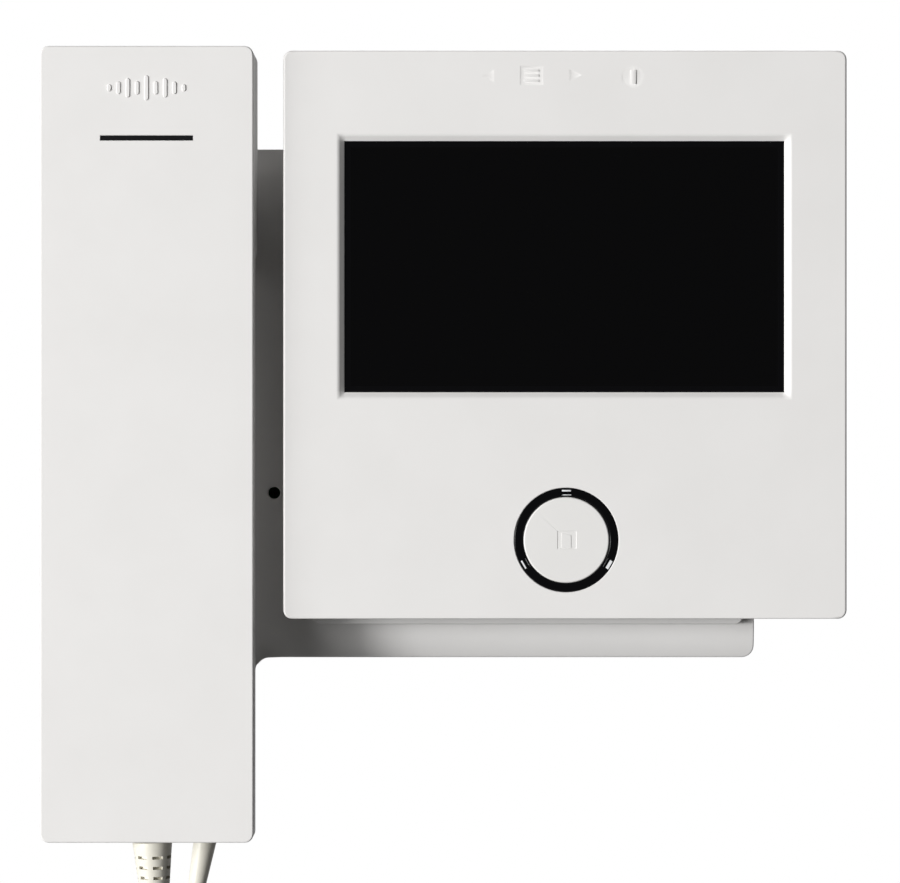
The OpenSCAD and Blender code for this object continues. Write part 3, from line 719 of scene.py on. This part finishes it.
bootLook = {
    "top": Vector((-75.6, -46.5, -101.5)) * mm,
    "end": Vector((-74.6, -46.5, -124)) * mm,
    "topRadius": 5.05 * mm,
    "endRadius": 2.8 * mm,
    "neck": 4.2 * mm,         # length of the part up in the housing
    "neckRadius": 2.8 * mm,
    "core": 2.45 * mm,        # radius that the slots leave whole
    "firstRow": -105.4 * mm,  # height of the uppermost row of slots
    "rowPitch": 2.6 * mm,
    "rows": 6,
    "slotsRound": 7,
    "slotTurn": 33.0,         # degrees that a slot takes
    "slotStart": -31.7,       # degrees round from the front, of one slot's middle
    "slotHeight": 0.75 * mm,
    "slotDepth": 1.3 * mm,
}
glandLook = {
    "top": Vector((-60.9, -18, -86.9)) * mm,
    "end": Vector((-66.3, -18, -116)) * mm,
    "topRadius": 4.0 * mm,
    "endRadius": 2.35 * mm,
    "neck": 3.2 * mm,
    "neckRadius": 2.6 * mm,
}


def taper(look):
    # a round tapered sleeve from top to end, with a neck that goes up into the housing
    length = (look["end"] - look["top"]).length
    edge = 0.35 * mm
    profile = [(0, -look["neck"]), (look["neckRadius"], -look["neck"]), (look["neckRadius"], 0)]
    profile += [(look["topRadius"] - edge, 0), (look["topRadius"] - 0.1 * mm, 0.12 * mm),
                (look["topRadius"], edge)]
    steps = 12
    for k in range(1, steps):
        f = k / steps
        profile.append((look["topRadius"] + (look["endRadius"] - look["topRadius"]) * f, length * f))
    profile += [(look["endRadius"], length - edge), (look["endRadius"] - edge, length), (0, length)]
    bm = spun(profile, (0, 0), 48)
    along = (look["end"] - look["top"]).normalized()
    turn = Vector((0, 1, 0)).rotation_difference(along).to_matrix().to_4x4()
    bmesh.ops.transform(bm, matrix=Matrix.Translation(look["top"]) @ turn, verts=bm.verts)
    return bm


def bootSlots(look):
    bm = bmesh.new()
    axis = look["end"] - look["top"]
    for row in range(look["rows"]):
        z = look["firstRow"] - row * look["rowPitch"]
        f = (z - look["top"].z) / axis.z
        middle = look["top"] + axis * f
        radius = look["topRadius"] + (look["endRadius"] - look["topRadius"]) * f
        width = 2 * radius * math.sin(math.radians(look["slotTurn"] / 2))
        reach = min(look["slotDepth"], radius - look["core"]) + 1 * mm
        for k in range(look["slotsRound"]):
            turn = math.radians(look["slotStart"] + 360 * k / look["slotsRound"])
            out = radius - reach / 2 + 1 * mm
            matrix = (Matrix.Translation(middle) @ Matrix.Rotation(turn, 4, "Z")
                      @ Matrix.Translation((0, -out, 0))
                      @ Matrix.Diagonal((width, reach, look["slotHeight"], 1)))
            bmesh.ops.create_cube(bm, size=1, matrix=matrix)
    bevel(bm, edgesAlongY(bm), 0.2 * mm, 2)
    return bm


bootPiece = combine(toObject(taper(bootLook), "cord_boot_ribbed"), "DIFFERENCE", bootSlots(bootLook))
smoothShade(bootPiece, 35)
place(bootPiece, "cord_boot")
glandPiece = toObject(taper(glandLook), "cord_gland_sleeve")
smoothShade(glandPiece, 35)
place(glandPiece, "cord_gland")
print("strain reliefs made")

# base

baseLook = {
    "edge": 0.35 * mm,
    "crownWidth": 8.0 * mm,  # the front falls away over this width, towards its upper and lower ends
    "crownDrop": 2.8 * mm,
}
coverLow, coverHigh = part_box("base_front_cover")
coverFace = -24 * mm
bodyLow, columnRight = -56.5 * mm, -52 * mm


def inward(point):
    # how far a point lies from the cover's upper or lower end: a wide body, and a column down its left side
    body = min(coverHigh.z - point.z, point.z - bodyLow)
    column = min(coverHigh.z - point.z, point.z - coverLow.z, columnRight + baseLook["crownWidth"] - point.x)
    return max(body, column, 0)


def crown(bm):
    for k in (0.12, 0.3, 0.5, 0.75, 1.0):
        step = k * baseLook["crownWidth"]
        for axis, at in ((0, columnRight + step), (2, coverHigh.z - step), (2, bodyLow + step),
                         (2, coverLow.z + step)):
            cutAcross(bm, bm.verts[:] + bm.edges[:] + bm.faces[:], axis, at)
    for vert in bm.verts:
        if abs(vert.co.y - coverFace) < 0.02 * mm:
            left = max(1 - inward(vert.co) / baseLook["crownWidth"], 0)
            vert.co.y += baseLook["crownDrop"] * left * left


cover = softEdges(copyOf("base_front_cover", "base_cover"), baseLook["edge"], 3, reshape=crown)
smoothShade(cover, 40)
place(cover, "base_front_cover")
print("base cover made")

# other shells, with soft edges

softened = {
    "base_rear_shell": (0.3 * mm, "base_tray"),
    "monitor_rear_shell": (0.4 * mm, "monitor_back"),
    "handset_back_shell": (0.25 * mm, "handset_back"),
    "wall_bracket": (0.15 * mm, "bracket_sheet"),
    "hook_lever": (0.3 * mm, "hook_lever_arm"),
    "left_key": (0.3 * mm, "left_key_cap"),
    "menu_key": (0.3 * mm, "menu_key_cap"),
    "right_key": (0.3 * mm, "right_key_cap"),
    "info_key": (0.3 * mm, "info_key_cap"),
    "terminal_block": (0.2 * mm, "terminal_block_body"),
}
for node, (width, name) in softened.items():
    soft = softEdges(copyOf(node, name), width)
    smoothShade(soft, 40)
    place(soft, node)
print("shells made")

# springs, copied with smooth shading in place of their parts

springs = {
    # node: (name, body at the front end, body at the back end)
    "door_key_spring": ("door_key_coil", "door_key", "base"),
    "hook_spring": ("hook_lever_coil", "hook", "base"),
}
for node, (name, front, back) in springs.items():
    coil = copyOf(node, name)
    coil.data.shade_smooth()
    coil.data.set_sharp_from_angle(angle=math.radians(40))
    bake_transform(coil)
    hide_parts(node)
print("springs made")

# light, backdrop and floor

studio = {
    # each lamp: degrees round from the front, degrees up, distance, width, height, power
    "lamps": {
        "near_lamp": (-47, 2, 6.0, 1.6, 1.6, 245.0),
        "wide_lamp": (-48, 1, 6.0, 6.0, 3.6, 300.0),
        "back_lamp": (165, 30, 2.5, 1.4, 1.4, 22.0),
    },
    "ambientFront": 0.05,
    "ambientBack": 0.3,
    "floorY": -0.65,
    "floorZ": -0.2565,
    "floorReach": (1.2, 1.0),  # to each side of its middle
}


def areaLight(name, turn, rise, distance, width, height, power):
    data = bpy.data.lights.new(name, "AREA")
    data.shape, data.size, data.size_y, data.energy = "ELLIPSE", width, height, power
    light = bpy.data.objects.new(name, data)
    scene.collection.objects.link(light)
    t, r = math.radians(turn), math.radians(rise)
    light.location = distance * Vector((math.sin(t) * math.cos(r), -math.cos(t) * math.cos(r), math.sin(r)))
    light.rotation_mode = "QUATERNION"
    light.rotation_quaternion = (-light.location).to_track_quat("-Z", "Y")
    light.visible_camera = False


for name, settings in studio["lamps"].items():
    areaLight(name, *settings)

world = bpy.data.worlds.new("studio")
scene.world = world
world.use_nodes = True
tree = world.node_tree
tree.nodes.clear()
seen = tree.nodes.new("ShaderNodeLightPath")
paper = tree.nodes.new("ShaderNodeBackground")
paper.inputs["Color"].default_value = (1, 1, 1, 1)
fill = tree.nodes.new("ShaderNodeBackground")
fill.inputs["Color"].default_value = (1, 1, 1, 1)
# the even light is weaker from the front than from behind the wall's plane
heading = tree.nodes.new("ShaderNodeTexCoord")
parts = tree.nodes.new("ShaderNodeSeparateXYZ")
fade = tree.nodes.new("ShaderNodeMapRange")
fade.inputs["From Min"].default_value = -0.1
fade.inputs["From Max"].default_value = 0.7
fade.inputs["To Min"].default_value = studio["ambientFront"]
fade.inputs["To Max"].default_value = studio["ambientBack"]
tree.links.new(heading.outputs["Generated"], parts.inputs[0])
tree.links.new(parts.outputs["Y"], fade.inputs["Value"])
tree.links.new(fade.outputs[0], fill.inputs["Strength"])
either = tree.nodes.new("ShaderNodeMixShader")
output = tree.nodes.new("ShaderNodeOutputWorld")
tree.links.new(seen.outputs["Is Camera Ray"], either.inputs[0])
tree.links.new(fill.outputs[0], either.inputs[1])
tree.links.new(paper.outputs[0], either.inputs[2])
tree.links.new(either.outputs[0], output.inputs["Surface"])

floorMesh = bmesh.new()
bmesh.ops.create_grid(floorMesh, x_segments=1, y_segments=1, size=1,
                      matrix=Matrix.Translation((0, studio["floorY"], studio["floorZ"]))
                      @ Matrix.Diagonal((*studio["floorReach"], 1, 1)))
floor = toObject(floorMesh, "floor")
floorFinish = Finish("floorPaper", Roughness=0.9)
floorFinish.drive("Base Color", floorFinish.mix(floorFinish.noise(0.2), (0.8, 0.8, 0.8), (0.82, 0.82, 0.82)))
floor.data.materials.append(floorFinish.material)
floor.visible_diffuse = False
floor.visible_shadow = False
scene.view_settings.view_transform = "Standard"
scene.view_settings.look = "None"
print("studio made")
